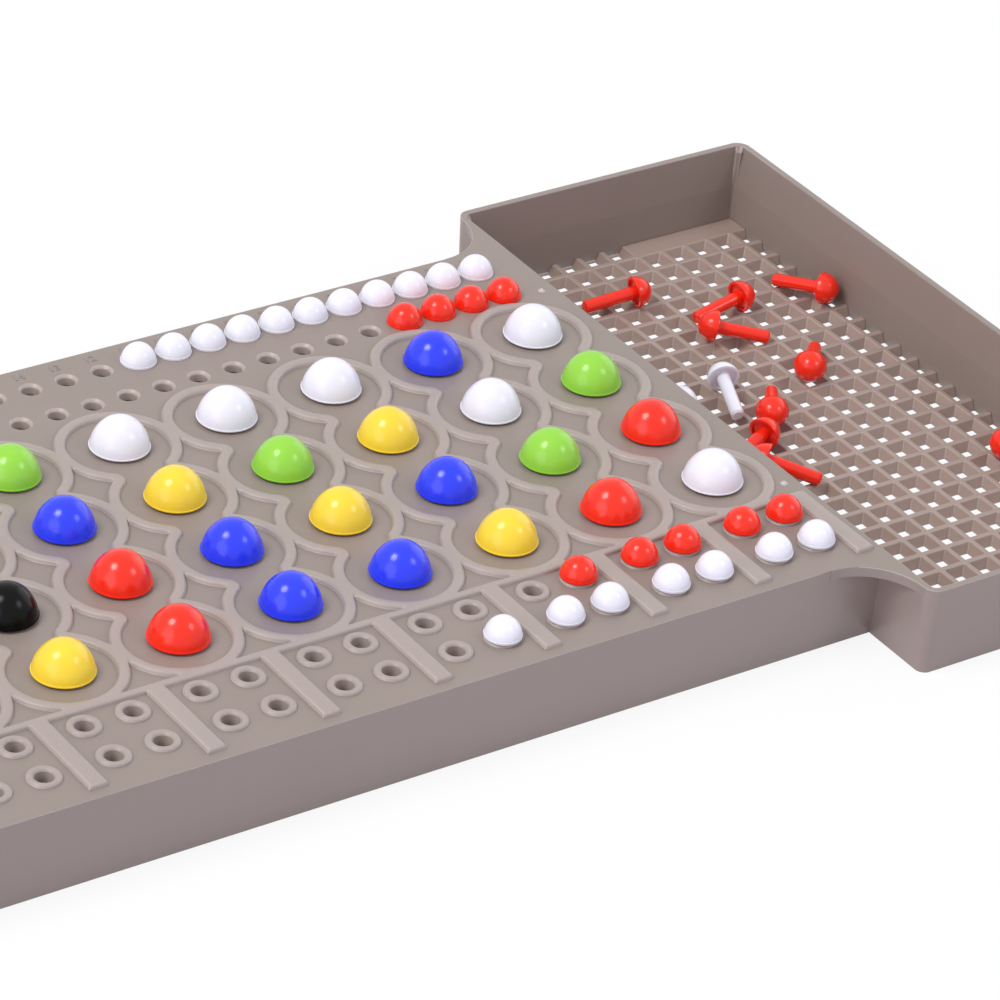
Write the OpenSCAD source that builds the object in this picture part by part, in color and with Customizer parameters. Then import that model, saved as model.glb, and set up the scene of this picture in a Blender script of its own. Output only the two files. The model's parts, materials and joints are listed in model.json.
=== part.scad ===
// Code-breaking puzzle: a moulded board with ten guess rows, key holes, two score tracks,
// a peg tray with a lattice floor, a hinged shield over the secret code, and its pegs.
// Millimetres. X runs along the board towards the tray, Y to the far side, Z up, base on z = 0.

/* [Board] */
// Height of the board from the table to the top of the deck
board_h = 19; // [17:0.5:22]
// Thickness of the deck plate and of the corner webs
plate_t = 2.2; // [1.4:0.1:2.6]
// Thickness of the side walls and width of the tray's rim
wall_t = 2; // [1.6:0.1:2.4]
// Lean of the walls under the deck, inwards from their top to their foot
draft = 1.9; // [1:0.1:2.2]
// Plan radius of the outer corners, at their foot
corner_r = 2; // [1.6:0.1:2.6]
// Width from the near edge to the nearest column of wells
key_band = 36; // [35:0.5:42]
// Width from the farthest column of wells to the far edge
score_band = 33.7; // [33:0.1:40]
// Width from the first guess row to the tray's left face
row_lead = 14.35; // [14.2:0.05:18]

/* [Wells] */
// Number of guess rows
row_n = 10; // [8:1:12]
// Distance between guess rows
row_pitch = 24; // [23:0.25:26]
// Distance between the four columns
col_pitch = 20.43; // [20.3:0.01:22]
// Radius of a well inside its ridge
well_ri = 10.1; // [9.8:0.05:10.1]
// Width of the ridge round a well
ridge_w = 2.25; // [1.8:0.05:2.6]
// Height of the ridges above the deck
ridge_h = 0.9; // [0.4:0.1:1.2]
// Radius of the rounded points where two wells open into each other
neck_r = 2.4; // [1.8:0.1:2.8]
// Width of the comb's long bar beside the wells
comb_w = 1.4; // [1:0.1:2]
// Width of the comb's teeth between the rows
tooth_w = 3.7; // [2.5:0.1:3.8]
// Gap between the end of a tooth and the near edge
tooth_gap = 2.5; // [1.5:0.1:4]

/* [Holes] */
// Radial clearance of every peg's stem in its hole
stem_gap = 0.35; // [0.35:0.05:0.5]
// Width of the raised collar round a key peg's hole
key_collar_w = 1.5; // [1.2:0.1:1.6]
// Height of the collars above the deck
collar_h = 0.9; // [0.7:0.1:1.2]
// Slope at a collar's outer edge
collar_edge = 0.35; // [0.2:0.05:0.4]
// Depth of the lead-in at the top of a key or score hole
lead_in = 0.6; // [0.2:0.05:0.65]
// Distance of the near key holes from the near edge
key_in = 9.4; // [8.5:0.1:10]
// Distance between the two key holes along the board
key_pitch_x = 10; // [9:0.1:10.4]
// Distance between the two key holes across the board
key_pitch_y = 10.2; // [9:0.1:11]
// Distance of the outer score track from the far edge
score_in = 7.4; // [6:0.1:9]
// Distance between the two score tracks
score_gap = 10.2; // [8:0.1:11]
// Distance between holes of a score track
score_pitch = 8; // [7.4:0.1:9]
// Distance of the first score hole from the first guess row, towards the tray
score_lead = 3.9; // [0:0.1:6]

/* [Tray] */
// Length of the peg tray along the board
tray_l = 74.5; // [73:0.5:90]
// Overhang of the tray past each side of the deck
wing = 15.25; // [12:0.25:20]
// Lean of the tray's walls, inwards from their top to their foot
tray_draft = 0.9; // [0.6:0.1:1.4]
// Thickness of the lattice floor
grid_t = 2.5; // [1.6:0.1:3.5]
// Distance between the lattice's ribs
grid_pitch = 6.08; // [5:0.04:8]
// Width of the ribs' crests
crest_w = 1.4; // [0.5:0.1:1.6]
// Width of the lattice's cells at the table
cell_w = 3.1; // [1.6:0.1:3.4]
// Rib, counted from the tray's middle, from which the far row of cells is closed
blank_rib = 1; // [-3:1:4]
// Width left at the tips of the corner webs
web_tip = 0.1; // [0.1:0.05:0.4]

/* [Pegs] */
// Radius of a code peg's domed head
code_head_r = 6.1; // [5.2:0.1:6.4]
// Height of the straight band under a code peg's dome
code_band = 0.3; // [0.2:0.1:1]
// Radius of a code peg's stem
code_stem_r = 2.2; // [1.8:0.1:2.4]
// Length of a code peg's stem
code_stem_l = 9.5; // [7:0.5:12]
// Radius of a key peg's domed head
key_head_r = 3.4; // [3:0.1:3.5]
// Height of the straight band under a key peg's dome
key_band_h = 0.7; // [0.4:0.1:1]
// Radius of a key peg's stem
key_stem_r = 1.4; // [1.2:0.05:1.5]
// Length of a key peg's stem
key_stem_l = 11.5; // [9:0.5:12.5]
// Depth of the dish under a key peg's head
dish_d = 0.8; // [0.4:0.1:1]
// Rim left round the dish
dish_rim = 0.6; // [0.4:0.1:0.8]
// Chamfer at the tip of a stem
tip = 0.4; // [0.2:0.1:0.6]
// Clearance under a seated head
seat_gap = 0.3; // [0.3:0.05:0.5]
// Clearance under a peg that lies in the tray
lie_gap = 0.3; // [0.3:0.05:0.5]
// Least distance from the heads of lying pegs to the tray's walls
lie_side = 4.3; // [4:0.1:5]

/* [Code shield] */
// Clearance from the code row's ridge to the inside of the shield
hood_gap = 4.5; // [3.5:0.1:6]
// Thickness of the shield
hood_t = 1.6; // [1.2:0.1:2.2]
// Depth of the shield's axis below the deck
hood_drop = 1.5; // [0.8:0.1:2]
// Clearance from the code row's ends to the shield's cheeks
hood_side = 1.2; // [0.6:0.1:2]
// Clearance under the shield's edges
hood_lift = 0.3; // [0.3:0.05:0.6]
// Clearance from the shield's front edge to the last guess row
hood_front = 3.2; // [2:0.1:6]
// Deck left behind the shield
hood_rear = 7.55; // [6.5:0.05:14]
// Distance of the hinge behind the code row
hinge_back = 14.5; // [14:0.1:15.5]
// Height of the hinge above the deck
hinge_up = 4.5; // [4.3:0.1:5.2]
// Height of the relieved rear edge above the deck
rear_up = 2.5; // [2.3:0.1:3]
// Radius of the hinge pins
pin_r = 1.6; // [1.2:0.1:2]
// Running clearance of the pins in their lugs
pin_gap = 0.08; // [0.05:0.01:0.1]
// Radius of the lugs round the pins
lug_r = 4; // [3.6:0.1:4.2]
// Thickness of the lugs
lug_t = 4; // [3:0.1:6]
// Clearance between lugs and cheeks
lug_gap = 0.4; // [0.3:0.05:0.8]

/* [Hidden] */
$fn = 96;
// Overrun of cutting shapes
over = 1;
// Overlap of the rounded neck points with the wells, which keeps them from only touching
neck_lap = 0.05;
// Trim of the neck's opening inside its rounded points
neck_trim = 0.15;
// Overlap of the comb with the ridges that it joins
join = 0.1;
// Plan radius at the foot of an inner corner
foot_r = 0.3;

// Colours of the seven played guesses, first row first, far column first
guesses = [
    ["white", "green", "red", "white"],
    ["blue", "white", "green", "red"],
    ["white", "yellow", "blue", "yellow"],
    ["white", "green", "yellow", "blue"],
    ["white", "yellow", "blue", "blue"],
    ["green", "blue", "red", "red"],
    ["red", "white", "black", "yellow"]
];
// Colours of the secret code
secret = ["yellow", "green", "blue", "red"];
// Key pegs: node, guess row, colour, then side (0 left, 1 right) and line (0 near, 1 far) of each
keys = [
    ["key_1_red", 0, "red", [[0, 1], [1, 1]]],
    ["key_1_white", 0, "white", [[0, 0], [1, 0]]],
    ["key_2_red", 1, "red", [[0, 1], [1, 1]]],
    ["key_2_white", 1, "white", [[0, 0], [1, 0]]],
    ["key_3_red", 2, "red", [[1, 1]]],
    ["key_3_white", 2, "white", [[0, 0], [1, 0]]],
    ["key_4_white", 3, "white", [[1, 0]]]
];
// Filled holes of the outer and the inner score track
score_outer_n = 11;
score_inner_n = 4;
// Pegs lying in the tray: place along it, 0 to 1, place across it, -1 to 1, and heading of the stem
lying_red = [
    [0.38, 0.751, 169],
    [0.685, 0.6, 183],
    [0.498, 0.494, -31],
    [0.985, 0.537, 115],
    [0.633, 0.204, 47],
    [0.341, 0.055, 53],
    [0.226, -0.032, 200],
    [0.141, -0.144, -49],
    [0.916, -0.376, -60]
];
lying_white = [
    [0.318, 0.253, -110],
    [0.116, 0.228, 100]
];

col_n = len(secret);
well_ro = well_ri + ridge_w;
hood_ri = well_ro + hood_gap;
hood_ro = hood_ri + hood_t;
code_lead = well_ro + hood_front + hood_ro;
end_lead = hood_ro + hood_rear;
board_l = end_lead + code_lead + (row_n - 1) * row_pitch + row_lead + tray_l;
ring_l = board_l - tray_l / 2;
deck_w = key_band + (col_n - 1) * col_pitch + score_band;
tray_w = deck_w + 2 * wing;
left_x = -board_l / 2;
tray_x = board_l / 2 - tray_l;
near_y = -deck_w / 2;
code_x = left_x + end_lead;
chain_l = (col_n - 1) * col_pitch;
chain_y = near_y + key_band + chain_l / 2;
code_hole_r = code_stem_r + stem_gap;
key_hole_r = key_stem_r + stem_gap;
key_seat = board_h + collar_h + seat_gap;
deck_seat = board_h + seat_gap;
score_n = floor((row_n - 1) * row_pitch / score_pitch) + 1;
web_r = wing - corner_r - tray_draft - web_tip;
inner_r = draft + foot_r;
neck_reach = well_ri + neck_r - neck_lap;
neck_x = sqrt(neck_reach * neck_reach - col_pitch * col_pitch / 4);
neck_cut_x = neck_x * well_ri / neck_reach - neck_trim;
neck_cut_y = (1 - well_ri / neck_reach) * col_pitch / 2 + neck_trim;
comb_y = near_y + key_band - well_ro - join;
rib_foot = grid_pitch - cell_w;
lie_wall = wall_t + lie_side;
lie_tilt = atan((key_head_r - key_stem_r) / (key_stem_l - tip));
cheek_y = chain_l / 2 + well_ro + hood_side;
pin_l = hood_t / 2 + lug_gap + lug_t;
hood_z = board_h - hood_drop;
hinge_x = code_x - hinge_back;
hinge_z = board_h + hinge_up;

function row_x(r) = tray_x - row_lead - r * row_pitch;
function col_y(c) = near_y + key_band + (col_n - 1 - c) * col_pitch;
function key_x(r, side) = row_x(r) + (side - 0.5) * key_pitch_x;
function key_y(line) = near_y + key_in + line * key_pitch_y;
function score_x(k) = row_x(0) + score_lead - k * score_pitch;
function score_y(track) = deck_w / 2 - score_in - track * score_gap;
function guess_name(r, c) = str("guess_", r + 1, chr(97 + c));
function secret_name(c) = str("secret_", chr(97 + c));
function paint(name) =
    name == "white" ? [0.95, 0.95, 0.97] :
    name == "green" ? [0.62, 0.87, 0.36] :
    name == "red" ? [0.96, 0.26, 0.18] :
    name == "blue" ? [0.22, 0.28, 0.95] :
    name == "yellow" ? [0.97, 0.88, 0.36] :
    name == "black" ? [0.05, 0.05, 0.06] : [0.63, 0.59, 0.57];

// A block with leaning walls and corners of radius r, sized at its top
module leaning_block(l, w, r, h, lean) {
    rotate([90, 0, 90])
        linear_extrude(l - 2 * r, center = true)
            polygon([[lean - w / 2, 0], [w / 2 - lean, 0], [w / 2, h], [-w / 2, h]]);
    rotate([90, 0, 0])
        linear_extrude(w - 2 * r, center = true)
            polygon([[lean - l / 2, 0], [l / 2 - lean, 0], [l / 2, h], [-l / 2, h]]);
    for (sx = [-1, 1], sy = [-1, 1])
        translate([sx * (l / 2 - r), sy * (w / 2 - r), 0])
            cylinder(h = h, r1 = r - lean, r2 = r);
}

// The space inside leaning walls, run past the top and the bottom
module leaning_space(l, w, lean) {
    grow = lean * over / board_h;
    top_r = foot_r + lean + grow;
    translate([0, 0, -over])
        leaning_block(l + 2 * grow, w + 2 * grow, top_r, board_h + 2 * over, lean + 2 * grow);
}

// The tray's outer form
module tray_block() {
    translate([tray_x + tray_l / 2, 0, 0])
        leaning_block(tray_l, tray_w, corner_r + tray_draft, board_h, tray_draft);
}

// The walls under the deck, as one ring that runs on under the tray
module deck_ring() {
    difference() {
        translate([left_x + ring_l / 2, 0, 0])
            leaning_block(ring_l, deck_w, corner_r + draft, board_h, draft);
        translate([left_x + ring_l / 2, 0, 0])
            leaning_space(ring_l - 2 * wall_t, deck_w - 2 * wall_t, draft);
        tray_block();
        translate([tray_x + wall_t, -deck_w, -over])
            cube([tray_l, 2 * deck_w, board_h + 2 * over]);
        translate([left_x - over, -deck_w, board_h - plate_t])
            cube([board_l, 2 * deck_w, plate_t + over]);
    }
}

// One long side of the ring, past the left corners
module side_wall(side) {
    color(paint("board"))
        intersection() {
            deck_ring();
            translate([left_x + wall_t + inner_r, side * deck_w / 2 - deck_w / 4, -over])
                cube([board_l, deck_w / 2, board_h + 2 * over]);
        }
}

module near_wall() {
    side_wall(-1);
}

module far_wall() {
    side_wall(1);
}

// The left end with both corners
module end_wall() {
    color(paint("board"))
        intersection() {
            deck_ring();
            translate([left_x - over, -deck_w, -over])
                cube([wall_t + inner_r + over, 2 * deck_w, board_h + 2 * over]);
        }
}

// The deck's plate, with the same lean as the walls that carry it
module deck_slab() {
    difference() {
        translate([left_x + ring_l / 2, 0, board_h - plate_t])
            leaning_block(ring_l, deck_w, corner_r + draft, plate_t, draft * plate_t / board_h);
        translate([tray_x, -deck_w, 0])
            cube([tray_l, 2 * deck_w, board_h + over]);
    }
}

// Repeats its children at every code peg hole, the code row's too
module at_code_holes() {
    for (c = [0 : col_n - 1]) {
        translate([code_x, col_y(c)])
            children();
        for (r = [0 : row_n - 1])
            translate([row_x(r), col_y(c)])
                children();
    }
}

module at_key_holes() {
    for (r = [0 : row_n - 1], side = [0, 1], line = [0, 1])
        translate([key_x(r, side), key_y(line)])
            children();
}

module at_score_holes() {
    for (k = [0 : score_n - 1], track = [0, 1])
        translate([score_x(k), score_y(track)])
            children();
}

// The opening between two wells of a row, with rounded points on both sides
module neck() {
    difference() {
        square(2 * [neck_cut_x, neck_cut_y], center = true);
        for (side = [-1, 1])
            translate([side * neck_x, 0])
                circle(neck_r);
    }
}

// Everything that is hollow in the ridge pattern of the row at x
module well_chain(x) {
    for (c = [0 : col_n - 1])
        translate([x, col_y(c)])
            circle(well_ri);
    for (c = [0 : col_n - 2])
        translate([x, col_y(c) - col_pitch / 2])
            neck();
}

// The ridges round the wells and the comb beside the key holes
module ridges() {
    difference() {
        union() {
            at_code_holes()
                circle(well_ro);
            translate([row_x(row_n - 1) - row_pitch / 2 - tooth_w / 2, comb_y])
                square([row_n * row_pitch + tooth_w, comb_w]);
        }
        well_chain(code_x);
        for (r = [0 : row_n - 1])
            well_chain(row_x(r));
    }
    for (r = [0 : row_n])
        translate([row_x(r) + row_pitch / 2 - tooth_w / 2, near_y + tooth_gap])
            square([tooth_w, comb_y - near_y - tooth_gap + comb_w / 2]);
}

// Half section of a collar, with a slope at its outer edge and a lead-in to its hole
module collar_section() {
    outer = key_hole_r + key_collar_w;
    polygon([
        [key_hole_r, 0], [outer, 0], [outer, collar_h - collar_edge], [outer - collar_edge, collar_h],
        [key_hole_r + lead_in, collar_h], [key_hole_r, collar_h - lead_in]
    ]);
}

module deck_plate() {
    color(paint("board")) {
        difference() {
            deck_slab();
            translate([0, 0, board_h - plate_t - over])
                linear_extrude(plate_t + 2 * over) {
                    at_code_holes()
                        circle(code_hole_r);
                    at_key_holes()
                        circle(key_hole_r);
                    at_score_holes()
                        circle(key_hole_r);
                }
            translate([0, 0, board_h - lead_in])
                at_score_holes()
                    cylinder(h = lead_in + over, r1 = key_hole_r, r2 = key_hole_r + lead_in + over);
        }
        translate([0, 0, board_h])
            linear_extrude(ridge_h)
                ridges();
        translate([0, 0, board_h])
            at_key_holes()
                rotate_extrude()
                    collar_section();
    }
}

// A thin web in the corner between the deck's side and the tray's wing, whose edge leans like the deck's
module corner_web() {
    reach = web_r + web_tip;
    slope = draft / board_h;
    difference() {
        translate([-reach, -draft, board_h - plate_t])
            cube([reach + wall_t / 2, reach + draft, plate_t]);
        translate([-reach, reach, board_h - plate_t - over])
            cylinder(plate_t + 2 * over, web_r + slope * (plate_t + over), web_r - slope * over);
    }
}

module peg_tray() {
    color(paint("board"))
        difference() {
            union() {
                tray_block();
                translate([tray_x, deck_w / 2, 0])
                    corner_web();
                translate([tray_x, -deck_w / 2, 0])
                    mirror([0, 1, 0])
                        corner_web();
            }
            translate([tray_x + tray_l / 2, 0, 0])
                leaning_space(tray_l - 2 * wall_t, tray_w - 2 * wall_t, tray_draft);
            deck_slab();
        }
}

// Ribs of the lattice, side by side: wide at the table, narrow at the crest
module ribs(n, l) {
    foot = rib_foot / 2;
    crest = crest_w / 2;
    rotate([90, 0, 0])
        linear_extrude(l, center = true)
            for (i = [-n : n])
                translate([grid_pitch * i, 0])
                    polygon([[-foot, 0], [foot, 0], [crest, grid_t], [-crest, grid_t]]);
}

// The tray's floor: crossing ribs, and a far row of cells that is closed on its right
module tray_grid() {
    floor_l = tray_l - 2 * (wall_t + tray_draft);
    floor_w = tray_w - 2 * (wall_t + tray_draft);
    far_rib = floor(floor_w / grid_pitch / 2);
    color(paint("board"))
        translate([tray_x + tray_l / 2, 0, 0])
            intersection() {
                translate([-floor_l / 2, -floor_w / 2, 0])
                    cube([floor_l, floor_w, grid_t]);
                union() {
                    ribs(ceil(floor_l / grid_pitch / 2), floor_w);
                    rotate([0, 0, 90])
                        ribs(far_rib + 1, floor_l);
                    translate([grid_pitch * blank_rib, grid_pitch * far_rib, 0])
                        cube([floor_l, grid_pitch, grid_t]);
                }
            }
}

module hinge_lugs() {
    color(paint("board"))
        for (side = [-1, 1])
            translate([hinge_x, chain_y + side * (cheek_y + hood_t + lug_gap + lug_t / 2), hinge_z])
                rotate([90, 0, 0])
                    linear_extrude(lug_t, center = true)
                        difference() {
                            union() {
                                circle(lug_r);
                                translate([-lug_r, -hinge_up])
                                    square([2 * lug_r, hinge_up]);
                            }
                            circle(pin_r + pin_gap);
                        }
}

// The shield's side view, filled to radius r, with its open base and its relieved rear edge
module hood_side_view(r) {
    difference() {
        circle(r);
        translate([-2 * r, hood_drop + hood_lift - 2 * r])
            square([4 * r, 2 * r]);
        translate([-hinge_back - 2 * r, hood_drop + rear_up - 2 * r])
            square([2 * r, 2 * r]);
    }
}

module shield_roof() {
    color(paint("board"))
        translate([code_x, chain_y, hood_z])
            rotate([90, 0, 0])
                linear_extrude(2 * cheek_y, center = true)
                    difference() {
                        hood_side_view(hood_ro);
                        circle(hood_ri);
                    }
}

// One end of the shield with its hinge pin
module shield_cheek(side) {
    color(paint("board")) {
        translate([code_x, chain_y + side * (cheek_y + hood_t / 2), hood_z])
            rotate([90, 0, 0])
                linear_extrude(hood_t, center = true)
                    hood_side_view(hood_ro);
        translate([hinge_x, chain_y + side * (cheek_y + hood_t / 2 + pin_l / 2), hinge_z])
            rotate([90, 0, 0])
                cylinder(h = pin_l, r = pin_r, center = true);
    }
}

module shield_cheek_near() {
    shield_cheek(-1);
}

module shield_cheek_far() {
    shield_cheek(1);
}

// Half section of a peg: a dome on a straight band, and a stem with a chamfered tip
module peg_section(head_r, band, stem_r, stem_l) {
    intersection() {
        translate([0, band])
            circle(head_r);
        translate([0, band])
            square(head_r);
    }
    square([head_r, band]);
    polygon([[0, -stem_l], [stem_r - tip, -stem_l], [stem_r, tip - stem_l], [stem_r, band], [0, band]]);
}

module code_peg(name) {
    color(paint(name))
        rotate_extrude()
            peg_section(code_head_r, code_band, code_stem_r, code_stem_l);
}

module key_peg(name) {
    color(paint(name))
        rotate_extrude()
            difference() {
                peg_section(key_head_r, key_band_h, key_stem_r, key_stem_l);
                translate([key_stem_r, -over])
                    square([key_head_r - dish_rim - key_stem_r, dish_d + over]);
            }
}

module secret_peg(c) {
    translate([code_x, col_y(c), deck_seat])
        code_peg(secret[c]);
}

module guess_peg(r, c) {
    translate([row_x(r), col_y(c), deck_seat])
        code_peg(guesses[r][c]);
}

module key_pegs(k) {
    for (spot = k[3])
        translate([key_x(k[1], spot[0]), key_y(spot[1]), key_seat])
            key_peg(k[2]);
}

module score_white() {
    for (k = [0 : score_outer_n - 1])
        translate([score_x(k), score_y(0), deck_seat])
            key_peg("white");
}

module score_red() {
    for (k = [0 : score_inner_n - 1])
        translate([score_x(k), score_y(1), deck_seat])
            key_peg("red");
}

// A key peg that lies on its head's rim and its stem's tip
module lying_peg(spot, name) {
    x = tray_x + lie_wall + spot[0] * (tray_l - 2 * lie_wall);
    y = spot[1] * (tray_w / 2 - lie_wall);
    translate([x, y, grid_t + lie_gap + key_head_r * cos(lie_tilt)])
        rotate([0, lie_tilt - 90, spot[2]])
            key_peg(name);
}

module loose_red() {
    for (spot = lying_red)
        lying_peg(spot, "red");
}

module loose_white() {
    for (spot = lying_white)
        lying_peg(spot, "white");
}

deck_plate();
near_wall();
far_wall();
end_wall();
peg_tray();
tray_grid();
hinge_lugs();
shield_roof();
shield_cheek_near();
shield_cheek_far();
for (c = [0 : col_n - 1])
    secret_peg(c);
for (r = [0 : len(guesses) - 1], c = [0 : col_n - 1])
    guess_peg(r, c);
for (k = keys)
    key_pegs(k);
score_white();
score_red();
loose_red();
loose_white();
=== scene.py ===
# %% [markdown]
# A code-breaking puzzle on a white table
#
# The real object is a long moulded board in warm grey plastic. Coloured code pegs stand in ringed
# wells, small key and score pegs stand beside them, and spare pegs lie in a tray with a lattice
# floor. Its solids come packed from CAD. This lesson loads them, sets the photograph's camera, gives
# each plastic its finish, replaces the deck, the lattice and the tray by softer copies and the pegs by
# smooth turned ones, and adds the small marks of the mould. Everything is in metres, in one frame:
# X along the board towards the tray, Y to the score tracks, Z up.

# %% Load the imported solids
import json
import math
import bmesh
import bpy
from mathutils import Matrix, Vector


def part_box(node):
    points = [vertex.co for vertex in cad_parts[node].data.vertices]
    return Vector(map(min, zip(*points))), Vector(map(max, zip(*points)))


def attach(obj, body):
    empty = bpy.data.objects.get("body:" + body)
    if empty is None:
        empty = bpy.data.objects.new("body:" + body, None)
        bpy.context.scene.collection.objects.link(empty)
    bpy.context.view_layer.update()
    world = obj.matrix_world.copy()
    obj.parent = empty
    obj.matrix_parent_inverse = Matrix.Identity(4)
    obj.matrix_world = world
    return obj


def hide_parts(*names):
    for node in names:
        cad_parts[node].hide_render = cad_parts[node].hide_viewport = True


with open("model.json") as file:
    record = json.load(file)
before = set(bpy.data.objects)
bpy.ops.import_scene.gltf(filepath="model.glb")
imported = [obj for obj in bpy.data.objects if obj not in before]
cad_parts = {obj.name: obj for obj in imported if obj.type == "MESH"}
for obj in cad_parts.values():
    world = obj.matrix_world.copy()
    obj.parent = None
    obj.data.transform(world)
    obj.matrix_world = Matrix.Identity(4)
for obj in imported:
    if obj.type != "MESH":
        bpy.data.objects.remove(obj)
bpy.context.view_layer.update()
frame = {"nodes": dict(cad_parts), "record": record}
scene = bpy.context.scene
bodies = frame["record"]["behaviour"]["bodies"]
MM = 0.001

# %% [markdown]
# The camera was fitted to the regular grid of holes. It stands to the near left, about 32 degrees up,
# far away with a long lens, so the rows hardly converge. The picture is also rolled by nearly six
# degrees. A look-at constraint can't roll, so the three axes of the camera are written out and put in
# its matrix.

# %% Camera
AZIMUTH, ELEVATION, ROLL = -37.213, 31.843, 5.7045
STAND = Vector((-460.3, -692.7, 546.3)) * MM
SENSOR, LENS = 36, 189.3


def camera_axes(azimuth, elevation, roll):
    a, e, r = (math.radians(x) for x in (azimuth, elevation, roll))
    back = Vector((math.sin(a) * math.cos(e), -math.cos(a) * math.cos(e), math.sin(e)))
    right = Vector((math.cos(a), math.sin(a), 0))
    up = back.cross(right)
    return (right * math.cos(r) + up * math.sin(r), up * math.cos(r) - right * math.sin(r), back)


camera = bpy.data.objects.new("camera", bpy.data.cameras.new("camera"))
scene.collection.objects.link(camera)
camera.data.sensor_width, camera.data.lens = SENSOR, LENS
camera.data.clip_start, camera.data.clip_end = 0.05, 20
axes = Matrix(camera_axes(AZIMUTH, ELEVATION, ROLL)).transposed()
camera.matrix_world = Matrix.Translation(STAND) @ axes.to_4x4()
scene.camera = camera
scene.view_settings.view_transform = "Standard"
print("camera distance:", round(camera.location.length, 3))

# %% [markdown]
# Shader maths reads better as plain expressions than as a list of nodes and links. This small class
# wraps one socket. Adding or multiplying two of them adds a Math node, and one method makes any other
# node. Colours are written as a screen shows them, from 0 to 255, and made linear for the shader.

# %% Shader expressions
class Flow:
    def __init__(self, tree, socket):
        self.tree, self.socket = tree, socket

    def make(self, kind, settings=None, out=0, **values):
        node = self.tree.nodes.new(kind)
        for name, value in (settings or {}).items():
            setattr(node, name, value)
        for name, value in values.items():
            key = int(name[1:]) if name[1:].isdigit() else name.replace("_", " ")
            if isinstance(value, Flow):
                self.tree.links.new(value.socket, node.inputs[key])
            else:
                node.inputs[key].default_value = value
        return Flow(self.tree, node.outputs[out])

    def math(self, operation, a, b=0.0):
        return self.make("ShaderNodeMath", {"operation": operation}, i0=a, i1=b)

    def __add__(self, other):
        return self.math("ADD", self, other)

    __radd__ = __add__

    def __sub__(self, other):
        return self.math("SUBTRACT", self, other)

    def __rsub__(self, other):
        return self.math("SUBTRACT", other, self)

    def __mul__(self, other):
        return self.math("MULTIPLY", self, other)

    __rmul__ = __mul__

    def __lt__(self, other):
        return self.math("LESS_THAN", self, other)

    def __gt__(self, other):
        return self.math("GREATER_THAN", self, other)

    def __abs__(self):
        return self.math("ABSOLUTE", self)

    def at_most_one(self):
        return self.math("MINIMUM", self, 1.0)

    def tint(self, low, high):
        return self.make("ShaderNodeMix", {"data_type": "RGBA"}, out=2, i0=self, i6=low, i7=high)

    def feed(self, node, name):
        self.tree.links.new(self.socket, node.inputs[name])


def linear(*rgb):
    return tuple(((c / 255 + 0.055) / 1.055) ** 2.4 if c > 10 else c / 3294 for c in rgb) + (1.0,)


def shade(colour, factor):
    return tuple(min(1.0, c * factor) for c in colour[:3]) + (1.0,)


def new_finish(name):
    finish = bpy.data.materials.new(name)
    finish.use_nodes = True
    tree = finish.node_tree
    shader = tree.nodes["Principled BSDF"]
    place = tree.nodes.new("ShaderNodeTexCoord")
    return finish, shader, Flow(tree, place.outputs["Object"])


print("shader expressions ready")

# %% [markdown]
# The board is injection-moulded polystyrene, a warm grey with a fine satin surface. Real mouldings
# have no sharp edge, but every edge of the solids is sharp. A Bevel node gives the shader a rounded
# normal near each edge, and the angle between that and the true normal also marks the edges, which
# get a paler colour there as a painted highlight. Only the deck's flat between the ridges stays as it
# is, since the edges there are the hollow feet of the ridges. All that stands above the deck is also
# painted a little paler, more so higher up, as a painted highlight, and the walls of the holes are
# painted paler as painted light that lifts their shade. Where two solids of the one moulding meet, no
# edge exists on the real board, so there the rounding is masked.

# %% Board finish
tray_low, tray_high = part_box("peg_tray")
deck_low, deck_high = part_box("deck_plate")
TRAY_X = deck_high.x
DECK_Y = deck_high.y
WEB = TRAY_X - tray_low.x
DECK_Z = tray_high.z
PLATE_Z = deck_low.z
# The lattice's grey is the board's grey made lighter and warmer: painted light for the light that
# passes through its thin ribs and bounces between them.
BOARD, LATTICE_LIT = linear(147, 134, 123), linear(165, 145, 131)
# What stands above the deck gets a paler colour, more so higher up: a painted highlight.
TOP_HIGHLIGHT, TOP_HIGHLIGHT_SHARE = linear(198, 186, 175), 0.36
# The walls of the holes get a paler colour: painted light that lifts their shade.
HOLE_WALL_LIGHT, HOLE_LIGHT_SHARE = linear(205, 190, 178), 0.48
# The edges get a paler colour: a painted highlight.
EDGE_HIGHLIGHT, EDGE_HIGHLIGHT_SHARE, EDGE_GAIN = linear(210, 200, 192), 0.75, 3.0
CRISP, SOFT = 0.5 * MM, 1.0 * MM
SEAM, LEVEL = 0.7 * MM, 0.03 * MM
BORDER, END_RIM = 2 * MM, 3 * MM


def seam_mask(x, side, z):
    at_tray = (abs(x - TRAY_X) < SEAM) * (side < DECK_Y + SEAM)
    beside_deck = (x > TRAY_X - WEB - 4 * SEAM) * (x < TRAY_X + SEAM)
    at_web = (abs(side - DECK_Y) < 2 * SEAM) * beside_deck
    at_plate = (abs(z - PLATE_Z) < SEAM) * (x < TRAY_X)
    return (at_tray + at_web + at_plate).at_most_one()


def rounded_normal(raised, seams, true_normal):
    crisp, soft = (raised.make("ShaderNodeBevel", {"samples": 8}, Radius=r) for r in (CRISP, SOFT))
    vectors = {"data_type": "VECTOR"}
    rounded = raised.make("ShaderNodeMix", vectors, out=1, i0=raised, i4=crisp, i5=soft)
    return seams.make("ShaderNodeMix", vectors, out=1, i0=seams, i4=rounded, i5=true_normal)


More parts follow.
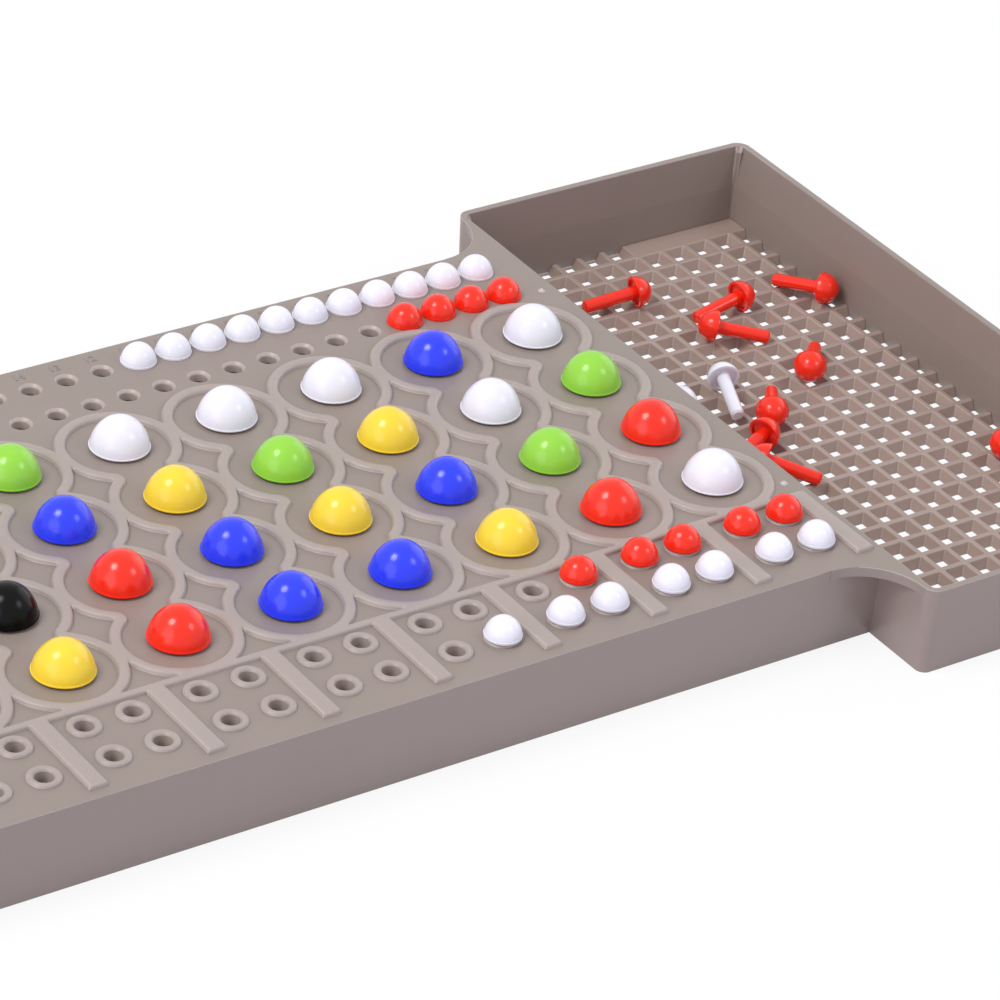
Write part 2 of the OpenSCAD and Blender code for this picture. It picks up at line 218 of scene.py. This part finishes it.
def board_finish(name, colour):
    finish, shader, place = new_finish(name)
    split = place.make("ShaderNodeSeparateXYZ", Vector=place)
    x, y, z = (Flow(place.tree, split.socket.node.outputs[i]) for i in range(3))
    side = abs(y)
    border = side > DECK_Y - BORDER
    raised, below = z > DECK_Z + LEVEL, z < DECK_Z - LEVEL
    true_normal = place.make("ShaderNodeNewGeometry", out=1)
    normal = rounded_normal(raised, seam_mask(x, side, z), true_normal)
    dot = {"operation": "DOT_PRODUCT"}
    facing = place.make("ShaderNodeVectorMath", dot, out=1, i0=normal, i1=true_normal)
    edge = ((1 - facing) * EDGE_GAIN).at_most_one() * (raised + border + below).at_most_one()
    patches = place.make("ShaderNodeTexNoise", Vector=place, Scale=38.0, Detail=3.0)
    grain = place.make("ShaderNodeTexNoise", Vector=place, Scale=2600.0, Detail=2.0)
    plain = patches.tint(shade(colour, 0.93), shade(colour, 1.07))
    rise = place.math("MAXIMUM", (z - DECK_Z) * (1.8 / MM), 0.0).at_most_one()
    inside = (1 - border) * (x < TRAY_X - BORDER) * (x > deck_low.x + END_RIM)
    in_hole = below * (z > PLATE_Z) * inside
    # painted highlight: paler with height above the deck
    tone = (rise * TOP_HIGHLIGHT_SHARE).tint(plain, TOP_HIGHLIGHT)
    # painted light: paler walls in the holes
    tone = (in_hole * HOLE_LIGHT_SHARE).tint(tone, HOLE_WALL_LIGHT)
    # painted highlight: a paler colour at the edges
    (edge * EDGE_HIGHLIGHT_SHARE).tint(tone, EDGE_HIGHLIGHT).feed(shader, "Base Color")
    (0.28 + patches * 0.08 + grain * 0.1).feed(shader, "Roughness")
    shader.inputs["Specular IOR Level"].default_value = 0.5
    fine = {"Strength": 0.1, "Distance": 0.05 * MM}
    place.make("ShaderNodeBump", Height=grain, Normal=normal, **fine).feed(shader, "Normal")
    return finish


grey = board_finish("moulded_warm_grey", BOARD)
# The lattice's finish is lighter than the board's as painted light.
lattice_lit_grey = board_finish("thin_rib_grey", LATTICE_LIT)
board_nodes = bodies["board"] + bodies["code_shield"]
for node in board_nodes:
    mesh = frame["nodes"][node].data
    mesh.materials.clear()
    mesh.materials.append(lattice_lit_grey if node == "tray_grid" else grey)
print("board finish on", len(board_nodes), "solids")

# %% [markdown]
# The ridges round the wells are rounded beads on the real board, and their highlights draw the whole
# pattern. In the solids they are square, so a copy of the deck is made and its loose triangles are
# joined. A bevel stumbles over the many triangles of the tops. Instead the tops are lowered by the
# rounding and come up again in three steps, each inset from the last along a quarter circle. The
# collars have slopes already: the angle at the edge of a top tells the two apart. They only become a
# little lower, as the photo has them.

# %% Deck with rounded ridges
ROUNDING, ROUND_STEPS = 0.6 * MM, 3
COLLAR_SHARE = 0.75
STEEP = 1.0


def merged_copy(node):
    work = bmesh.new()
    work.from_mesh(frame["nodes"][node].data)
    bmesh.ops.remove_doubles(work, verts=work.verts, dist=0.001 * MM)
    work.normal_update()
    return work


def ridge_tops(work):
    top_z = deck_high.z - 0.01 * MM
    tops = {f for f in work.faces if f.normal.z > 0.99 and f.calc_center_median().z > top_z}
    queue = [f for f in tops if any(e.calc_face_angle(0.0) > STEEP for e in f.edges)]
    found = set(queue)
    while queue:
        for edge in queue.pop().edges:
            for face in edge.link_faces:
                if face in tops and face not in found:
                    found.add(face)
                    queue.append(face)
    return list(found)


def rounded_deck(width, steps):
    work = merged_copy("deck_plate")
    tops = ridge_tops(work)
    ridge_corners = {v for face in tops for v in face.verts}
    for corner in work.verts:
        if corner in ridge_corners:
            corner.co.z -= width
        elif corner.co.z > DECK_Z:
            corner.co.z = DECK_Z + (corner.co.z - DECK_Z) * COLLAR_SHARE
    turns = [math.pi / 2 * k / steps for k in range(steps + 1)]
    for low, high in zip(turns, turns[1:]):
        bmesh.ops.inset_region(work, faces=tops, use_boundary=True,
                               thickness=width * (math.cos(low) - math.cos(high)),
                               depth=width * (math.sin(high) - math.sin(low)))
    work.normal_update()
    for face in work.faces:
        face.smooth = True
    for edge in work.edges:
        raised = min(v.co.z for v in edge.verts) > DECK_Z + 0.05 * MM
        edge.smooth = edge.calc_face_angle(0.0) < math.radians(50 if raised else 20)
    return work


def board_piece(name, work, finish, node):
    mesh = bpy.data.meshes.new(name)
    work.to_mesh(mesh)
    work.free()
    mesh.materials.clear()
    mesh.materials.append(finish)
    piece = bpy.data.objects.new(name, mesh)
    scene.collection.objects.link(piece)
    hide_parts(node)
    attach(piece, "board")
    print("faces of", name + ":", len(mesh.polygons))


board_piece("deck_with_beads", rounded_deck(ROUNDING, ROUND_STEPS), grey, "deck_plate")

# %% [markdown]
# The lattice in the tray has finer crests on the photo and shows more of the table through its holes.
# A copy of the solid is made shallower, and each corner on a crest moves towards the middle line of
# its rib. The ribs run on the tray's middle lines and repeat at one pitch, so the nearest middle line
# is a matter of rounding.

# %% Finer lattice
GRID_PITCH = 6.08 * MM
GRID_DEPTH = 0.85
CREST_SHARE, CREST_REACH = 0.72, 0.75 * MM
grid_low, grid_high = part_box("tray_grid")


def drawn_in(value, middle):
    line = middle + round((value - middle) / GRID_PITCH) * GRID_PITCH
    offset = value - line
    return line + offset * CREST_SHARE if abs(offset) < CREST_REACH else value


def flat_faced(work):
    for face in work.faces:
        face.smooth = False
    work.normal_update()
    return work


def fine_grid(depth):
    work = merged_copy("tray_grid")
    middle = (grid_low + grid_high) / 2
    for corner in work.verts:
        if corner.co.z > grid_high.z - 0.05 * MM:
            corner.co.x = drawn_in(corner.co.x, middle.x)
            corner.co.y = drawn_in(corner.co.y, middle.y)
        corner.co.z = grid_low.z + (corner.co.z - grid_low.z) * depth
    return flat_faced(work)


board_piece("fine_lattice", fine_grid(GRID_DEPTH), lattice_lit_grey, "tray_grid")

# %% [markdown]
# The tray's walls end in a thin rim on the photo. The walls of the solid are even, so in a copy the
# inner edge of the rim moves outwards, and the walls become thinner towards the top. Outside, nothing
# changes. The faces stay flat, since smooth shading draws streaks in the corners, and the finish
# rounds them.

# %% Thin rim of the tray
CAD_WALL = 2.0 * MM
RIM = 1.3 * MM


def thin_rim():
    work = merged_copy("peg_tray")
    middle = (TRAY_X + tray_high.x) / 2
    half_x, half_y = tray_high.x - middle - CAD_WALL, tray_high.y - CAD_WALL
    gain = CAD_WALL - RIM
    near = 0.02 * MM
    for corner in work.verts:
        x, y = corner.co.x - middle, corner.co.y
        within = abs(x) < half_x + near and abs(y) < half_y + near
        if within and corner.co.z > DECK_Z - near:
            corner.co.x = middle + x * (1 + gain / half_x)
            corner.co.y = y * (1 + gain / half_y)
    return flat_faced(work)


board_piece("thin_rim_tray", thin_rim(), grey, "peg_tray")

# %% [markdown]
# The pegs are glossy polystyrene in strong colours. Each finish has the same recipe: a colour that
# drifts a little, a gloss that varies with handling, and faint flow ripples in the normal. Only the
# colour differs, and black mirrors less.

# %% Peg finishes
PEG_COLOURS = {
    "white": (239, 239, 244),
    "green": (149, 217, 66),
    "red": (253, 45, 20),
    "blue": (41, 62, 244),
    "yellow": (255, 218, 58),
    "black": (9, 9, 10),
}
GLOSS, BLACK_GLOSS = 0.42, 0.14


def peg_finish(name):
    colour = linear(*PEG_COLOURS[name])
    finish, shader, place = new_finish("glossy_" + name)
    drift = place.make("ShaderNodeTexNoise", Vector=place, Scale=130.0, Detail=2.0)
    smears = place.make("ShaderNodeTexNoise", Vector=place, Scale=420.0, Detail=3.0)
    drift.tint(shade(colour, 0.94), shade(colour, 1.05)).feed(shader, "Base Color")
    (0.17 + smears * 0.08).feed(shader, "Roughness")
    bump = place.make("ShaderNodeBump", Strength=0.06, Distance=0.1 * MM, Height=smears)
    bump.feed(shader, "Normal")
    shader.inputs["Specular IOR Level"].default_value = BLACK_GLOSS if name == "black" else GLOSS
    return finish


peg_finishes = {name: peg_finish(name) for name in PEG_COLOURS}
print("peg finishes:", ", ".join(peg_finishes))

# %% [markdown]
# A peg is a turned form: a dome on a low band, a thin lip, and a stem with a chamfered tip. The dome
# is a little slimmer at its shoulders than a half ball. The small pegs also have a dish under the
# head, and those in the holes look a little wider on the photo than the spare ones. A lathe makes one
# mesh of each kind: it carries a half section round the axis, with a single point where the section
# meets the axis, so the poles are closed.

# %% Lathe
CODE_HEAD, CODE_BAND = 6.0 * MM, 0.3 * MM
CODE_STEM, CODE_LENGTH = 2.2 * MM, 9.5 * MM
KEY_HEAD, KEY_RISE = 3.65 * MM, 3.5 * MM
SPARE_HEAD, SPARE_RISE = 3.4 * MM, 3.3 * MM
KEY_BAND, KEY_STEM, KEY_LENGTH = 0.45 * MM, 1.4 * MM, 11.5 * MM
DISH, DISH_RIM = 0.5 * MM, 0.6 * MM
TIP = 0.4 * MM
LIP_SHARE, SLIMMER = 0.025, 0.045


def lathe(name, section, turns=56):
    points, rings = [], []
    for r, z in section:
        count = 1 if r < 1e-9 else turns
        rings.append(range(len(points), len(points) + count))
        for k in range(count):
            angle = 2 * math.pi * k / turns
            points.append((r * math.cos(angle), r * math.sin(angle), z))
    faces = []
    for low, high in zip(rings, rings[1:]):
        for k in range(turns):
            a, b = low[k % len(low)], low[(k + 1) % len(low)]
            c, d = high[(k + 1) % len(high)], high[k % len(high)]
            faces.append(tuple(dict.fromkeys((a, b, c, d))))
    mesh = bpy.data.meshes.new(name)
    mesh.from_pydata(points, [], faces)
    mesh.shade_smooth()
    mesh.set_sharp_from_angle(angle=math.radians(40))
    return bpy.data.objects.new(name, mesh)


def peg_section(head, rise, band, stem, length, under):
    edge = LIP_SHARE * head
    foot = [(0.0, -length), (stem - TIP, -length), (stem, TIP - length)]
    lip = [(head - edge, 0.0), (head - edge * 0.3, edge * 0.3), (head, edge), (head, band)]
    dome = []
    for t in (math.radians(degrees) for degrees in range(0, 90, 5)):
        reach = (head - edge) * math.cos(t) * (1 - SLIMMER * math.sin(2 * t))
        dome.append((reach, band + rise * math.sin(t)))
    return foot + under + lip + dome + [(0.0, band + rise)]


def small_peg(name, head, rise):
    inner = head - DISH_RIM
    dish = [(KEY_STEM, DISH), (inner, DISH), (inner, 0.0)]
    return lathe(name, peg_section(head, rise, KEY_BAND, KEY_STEM, KEY_LENGTH, dish), 40)


key_peg = small_peg("key_peg", KEY_HEAD, KEY_RISE)
spare_peg = small_peg("spare_peg", SPARE_HEAD, SPARE_RISE)
flat_under = [(CODE_STEM, 0.0)]
code_section = peg_section(CODE_HEAD, CODE_HEAD, CODE_BAND, CODE_STEM, CODE_LENGTH, flat_under)
code_peg = lathe("code_peg", code_section)
print("faces of a code peg:", len(code_peg.data.polygons),
      "of a key peg:", len(key_peg.data.polygons))

# %% [markdown]
# The same pegs repeat over the whole board, so Geometry Nodes set them out. The tree takes a few
# points that carry a turn, puts a peg on each, makes the instances real and gives them their finish.

# %% Peg setting tree
PEG_INPUTS = {"Points": "Geometry", "Peg": "Object", "Finish": "Material"}


def setting_tree():
    tree = bpy.data.node_groups.new("set_out_pegs", "GeometryNodeTree")
    for name, kind in PEG_INPUTS.items():
        tree.interface.new_socket(name, in_out="INPUT", socket_type="NodeSocket" + kind)
    tree.interface.new_socket("Pegs", in_out="OUTPUT", socket_type="NodeSocketGeometry")
    add, link = tree.nodes.new, tree.links.new
    given, made = add("NodeGroupInput"), add("NodeGroupOutput")
    peg, turn = add("GeometryNodeObjectInfo"), add("GeometryNodeInputNamedAttribute")
    turn.data_type = "FLOAT_VECTOR"
    turn.inputs["Name"].default_value = "turn"
    spin, on_points = add("FunctionNodeEulerToRotation"), add("GeometryNodeInstanceOnPoints")
    real, paint = add("GeometryNodeRealizeInstances"), add("GeometryNodeSetMaterial")
    link(given.outputs["Peg"], peg.inputs["Object"])
    link(turn.outputs["Attribute"], spin.inputs["Euler"])
    link(given.outputs["Points"], on_points.inputs["Points"])
    link(peg.outputs["Geometry"], on_points.inputs["Instance"])
    link(spin.outputs["Rotation"], on_points.inputs["Rotation"])
    link(on_points.outputs["Instances"], real.inputs["Geometry"])
    link(real.outputs["Geometry"], paint.inputs["Geometry"])
    link(given.outputs["Finish"], paint.inputs["Material"])
    link(paint.outputs["Geometry"], made.inputs["Pegs"])
    return tree


peg_tree = setting_tree()
socket_of = {s.name: s.identifier for s in peg_tree.interface.items_tree if s.in_out == "INPUT"}
print("tree inputs:", ", ".join(socket_of))

# %% [markdown]
# The result of the tree is turned into a plain mesh, one for each body, because a peg that can be
# lifted has to be a piece of its own. Each piece replaces the solids of its node and rides on the same
# body.

# %% Set out one body's pegs
slot_of = {part["node"]: part["material_slot"] for part in frame["record"]["subparts"]}
body_of = {node: body for body, nodes in bodies.items() for node in nodes}
made = []


def set_pegs(name, peg, colour, spots):
    mesh = bpy.data.meshes.new(name)
    mesh.from_pydata([spot for spot, turn in spots], [], [])
    turns = mesh.attributes.new("turn", "FLOAT_VECTOR", "POINT")
    turns.data.foreach_set("vector", [a for spot, turn in spots for a in turn])
    piece = bpy.data.objects.new(name, mesh)
    scene.collection.objects.link(piece)
    nodes = piece.modifiers.new("pegs", "NODES")
    nodes.node_group = peg_tree
    nodes[socket_of["Peg"]] = peg
    nodes[socket_of["Finish"]] = peg_finishes[colour]
    seen = piece.evaluated_get(bpy.context.evaluated_depsgraph_get())
    solid = bpy.data.meshes.new_from_object(seen)
    piece.modifiers.clear()
    piece.data = solid
    return piece


def stand_in(node, peg, spots):
    colour = slot_of[node].replace("peg_", "")
    piece = set_pegs("turned_" + node, peg, colour, spots)
    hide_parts(node)
    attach(piece, body_of[node])
    made.append(piece)


print("nodes with a slot:", len(slot_of))

# %% [markdown]
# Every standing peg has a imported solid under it, so its place is read from that solid's box: a box of
# one peg gives the peg's axis, and a box of a row gives its first and last peg. The holes are a little
# wider than the stems, and on the photo the pegs rest on the tray's side of them, so each is set over
# by most of the clearance. Each is also turned another way, as pegs that are put in by hand are. The
# code pegs stand a touch higher than the solids, as if not quite pushed home.

# %% Code pegs
SET_OVER = 0.3 * MM
RAISED = 0.2 * MM


def spin(x, y):
    return (0.0, 0.0, 7.3 * math.sin(9100.0 * x + 5300.0 * y))


for node in frame["nodes"]:
    if node.startswith(("guess_", "secret_")):
        low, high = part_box(node)
        x, y = (low.x + high.x) / 2, (low.y + high.y) / 2
        spot = (x + SET_OVER, y, low.z + CODE_LENGTH + RAISED)
        stand_in(node, code_peg, [(spot, spin(x, y))])
print("code pegs:", len(made))

# %% [markdown]
# The solids keep a small gap under each small head, but these pegs are pushed down: onto the collars
# of the key holes, or onto the deck in the score tracks.

# %% Key and score pegs
CAD_HEAD = 3.4 * MM
COLLAR_H = 0.9 * MM * COLLAR_SHARE
KEY_PITCH, SCORE_PITCH = 10.0 * MM, 8.0 * MM


def row_of_pegs(node, pitch, seat):
    low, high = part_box(node)
    first, y = low.x + CAD_HEAD + SET_OVER, (low.y + high.y) / 2
    count = round((high.x - low.x - 2 * CAD_HEAD) / pitch) + 1
    along = [first + k * pitch for k in range(count)]
    return [((x, y, seat), spin(x, y)) for x in along]


for node in frame["nodes"]:
    if node.startswith("key_"):
        stand_in(node, key_peg, row_of_pegs(node, KEY_PITCH, DECK_Z + COLLAR_H))
    elif node.startswith("score_"):
        stand_in(node, key_peg, row_of_pegs(node, SCORE_PITCH, DECK_Z))
print("pieces with standing pegs:", len(made))

# %% [markdown]
# The spare pegs lie in the tray on the rim of the head and the tip of the stem, so each leans a
# little. Their places are shares of the tray's clear length and width, as in the solids: from 0 at the
# deck to 1 at the right wall, from -1 at the near wall to 1 at the far one, and then the way that the
# stem points in degrees.

# %% Lying pegs
LYING = {
    "loose_red": [(0.38, 0.751, 169), (0.685, 0.6, 183), (0.498, 0.494, -31),
                  (0.985, 0.537, 115), (0.633, 0.204, 47), (0.341, 0.055, 53),
                  (0.226, -0.032, 200), (0.141, -0.144, -49), (0.916, -0.376, -60)],
    "loose_white": [(0.318, 0.253, -110), (0.1, 0.208, 100)],
}
CLEAR = 6.3 * MM
lean = math.atan((SPARE_HEAD - KEY_STEM) / (KEY_LENGTH - TIP))
floor_z = grid_low.z + (grid_high.z - grid_low.z) * GRID_DEPTH
head_z = floor_z + SPARE_HEAD * math.cos(lean)
tray_reach = tray_high.x - TRAY_X - 2 * CLEAR
tray_half = tray_high.y - CLEAR
for node, spots in LYING.items():
    laid = []
    for along, across, heading in spots:
        spot = (TRAY_X + CLEAR + along * tray_reach, across * tray_half, head_z)
        laid.append((spot, (0.0, lean - math.pi / 2, math.radians(heading))))
    stand_in(node, spare_peg, laid)
print("pieces with pegs in all:", len(made))

# %% [markdown]
# Beside the outer score track the mould leaves small raised numbers, one for each hole, so that a
# score can be read. Each is a text, made a mesh, moved to its hole and joined with the others into one
# piece.

# %% Score numbers
SCORE_HOLES = 28
NUMBER_SIZE, NUMBER_HEIGHT, NUMBER_AWAY = 2.7 * MM, 0.08 * MM, 4.6 * MM


def number_mesh(text, x, y):
    curve = bpy.data.curves.new("number", "FONT")
    curve.body, curve.size, curve.extrude = text, NUMBER_SIZE, NUMBER_HEIGHT
    curve.align_x, curve.align_y = "CENTER", "CENTER"
    holder = bpy.data.objects.new("number", curve)
    scene.collection.objects.link(holder)
    seen = holder.evaluated_get(bpy.context.evaluated_depsgraph_get())
    mesh = bpy.data.meshes.new_from_object(seen)
    bpy.data.objects.remove(holder)
    mesh.transform(Matrix.Translation((x, y, DECK_Z)))
    return mesh


def joined(name, meshes):
    points, faces = [], []
    for mesh in meshes:
        start = len(points)
        points += [tuple(v.co) for v in mesh.vertices]
        faces += [tuple(start + v for v in face.vertices) for face in mesh.polygons]
    whole = bpy.data.meshes.new(name)
    whole.from_pydata(points, [], faces)
    piece = bpy.data.objects.new(name, whole)
    scene.collection.objects.link(piece)
    return piece


score_low, score_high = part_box("score_white")
first_x = score_high.x - CAD_HEAD
number_y = (score_low.y + score_high.y) / 2 + NUMBER_AWAY
figures = [number_mesh(str(k + 1), first_x - k * SCORE_PITCH, number_y) for k in range(SCORE_HOLES)]
numbers = joined("score_numbers", figures)
numbers.data.materials.append(grey)
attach(numbers, "board")
print("faces of the numbers:", len(numbers.data.polygons))

# %% [markdown]
# The mould also leaves two small stubs on the deck, where the plastic was let in. They were torn off
# and end in a point, and their pale colour is a painted highlight for the glint on their tips. Their
# half section is written in millimetres.

# %% Gate marks
STUB = [(0.0, -0.1), (0.9, -0.1), (0.8, 0.15), (0.4, 0.3), (0.2, 0.55), (0.0, 0.6)]
# The pale colour of the stubs is a painted highlight.
STUB_GLINT = linear(215, 206, 200)
GATES = [(105.9 * MM, 46.0 * MM), (106.1 * MM, -36.4 * MM)]


def gate_mark(x, y):
    mark = lathe("gate_mark", [(r * MM, z * MM) for r, z in STUB], 24).data
    mark.transform(Matrix.Translation((x, y, DECK_Z)))
    return mark


gates = joined("gate_marks", [gate_mark(x, y) for x, y in GATES])
gates.data.materials.append(board_finish("torn_stub", STUB_GLINT))
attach(gates, "board")
print("gate marks:", len(gates.data.polygons), "faces")

# %% [markdown]
# The photograph has a white ground and soft light. A floor that is lit to white would burn out the
# object, so the white comes from the Light Path node: only the camera and mirrored or see-through rays
# meet a white floor and sky, while the light that reaches the object stays at a plain level. The floor
# still takes the board's soft shadow.

# %% Floor
FLOOR_BOUNCE = (0.79, 0.75, 0.88, 1)
FLOOR_GLOW, FLOOR_SHADE = 0.86, (0.13, 0.13, 0.13, 1)
WHITE = (1, 1, 1, 1)
HALF, UNDER = 9, -0.05 * MM


def seen_rays(tree):
    light = tree.nodes.new("ShaderNodeLightPath")
    kinds = ("Is Camera Ray", "Is Glossy Ray", "Is Transmission Ray")
    direct, mirrored, through = (Flow(tree, light.outputs[kind]) for kind in kinds)
    return (direct + mirrored + through).at_most_one()


def floor_finish():
    finish, shader, place = new_finish("white_table")
    tree = finish.node_tree
    shader.inputs["Base Color"].default_value = FLOOR_BOUNCE
    shader.inputs["Roughness"].default_value = 0.9
    bounce = Flow(tree, shader.outputs["BSDF"])
    glow = place.make("ShaderNodeEmission", Color=WHITE, Strength=FLOOR_GLOW)
    soft = place.make("ShaderNodeBsdfDiffuse", Color=FLOOR_SHADE)
    both = place.make("ShaderNodeAddShader", i0=glow, i1=soft)
    shown = place.make("ShaderNodeMixShader", i0=seen_rays(tree), i1=bounce, i2=both)
    shown.feed(tree.nodes["Material Output"], "Surface")
    return finish


corners = [(x * HALF, y * HALF, UNDER) for x, y in ((-1, -1), (1, -1), (1, 1), (-1, 1))]
floor_mesh = bpy.data.meshes.new("floor")
floor_mesh.from_pydata(corners, [], [(0, 1, 2, 3)])
floor = bpy.data.objects.new("floor", floor_mesh)
scene.collection.objects.link(floor)
floor_mesh.materials.append(floor_finish())
print("floor:", tuple(floor.dimensions))

# %% [markdown]
# The sky works the same way. Its light is a little cool, like the photo's shadows.

# %% Sky
SKY_LIGHT, SKY_HUE = 0.57, (0.97, 0.96, 1.16, 1)
world = bpy.data.worlds.new("studio")
scene.world = world
world.use_nodes = True
sky = world.node_tree.nodes["Background"]
seen = seen_rays(world.node_tree)
(SKY_LIGHT + seen * (1 - SKY_LIGHT)).feed(sky, "Strength")
(1 - seen).tint(WHITE, SKY_HUE).feed(sky, "Color")
print("sky for light:", SKY_LIGHT, "and a little cool, for the camera: 1.0 and white")

# %% [markdown]
# Each dome on the photograph shows two highlights: a bright one up on the left and a weaker one on the
# right. Mirrored back through the camera they give the directions of two soft boxes, high on the left
# and lower on the right. Their width follows from the width of the highlights. A wide sheet low on the
# left fills the sides that face the camera, and is so wide that it makes no highlight of its own. A
# weaker one does the same on the right. Each lamp is given by its direction, width, power and colour.

# %% Lamps
LAMP_DISTANCE = 2.5
LAMPS = {
    "soft_box_left": ((-0.50, 0.07, 0.865), 1.0, 29.5, (0.99, 1.0, 0.98)),
    "soft_box_right": ((0.46, -0.60, 0.655), 0.8, 8.5, (0.9, 0.95, 1.0)),
    "fill_sheet": ((-0.92, -0.2, 0.34), 2.2, 18.5, (1.0, 0.88, 1.0)),
    "right_sheet": ((0.9, 0.12, 0.36), 2.2, 12.0, (1.0, 0.97, 1.0)),
}


def soft_box(name, direction, width, power, colour):
    lamp = bpy.data.objects.new(name, bpy.data.lights.new(name, "AREA"))
    scene.collection.objects.link(lamp)
    lamp.data.shape, lamp.data.size, lamp.data.energy = "DISK", width, power
    lamp.data.color = colour
    away = Vector(direction).normalized()
    lamp.location = away * LAMP_DISTANCE
    lamp.rotation_euler = away.to_track_quat("Z", "Y").to_euler()
    lamp.visible_camera = False


for name, lamp in LAMPS.items():
    soft_box(name, *lamp)
print("lamps:", len(LAMPS))
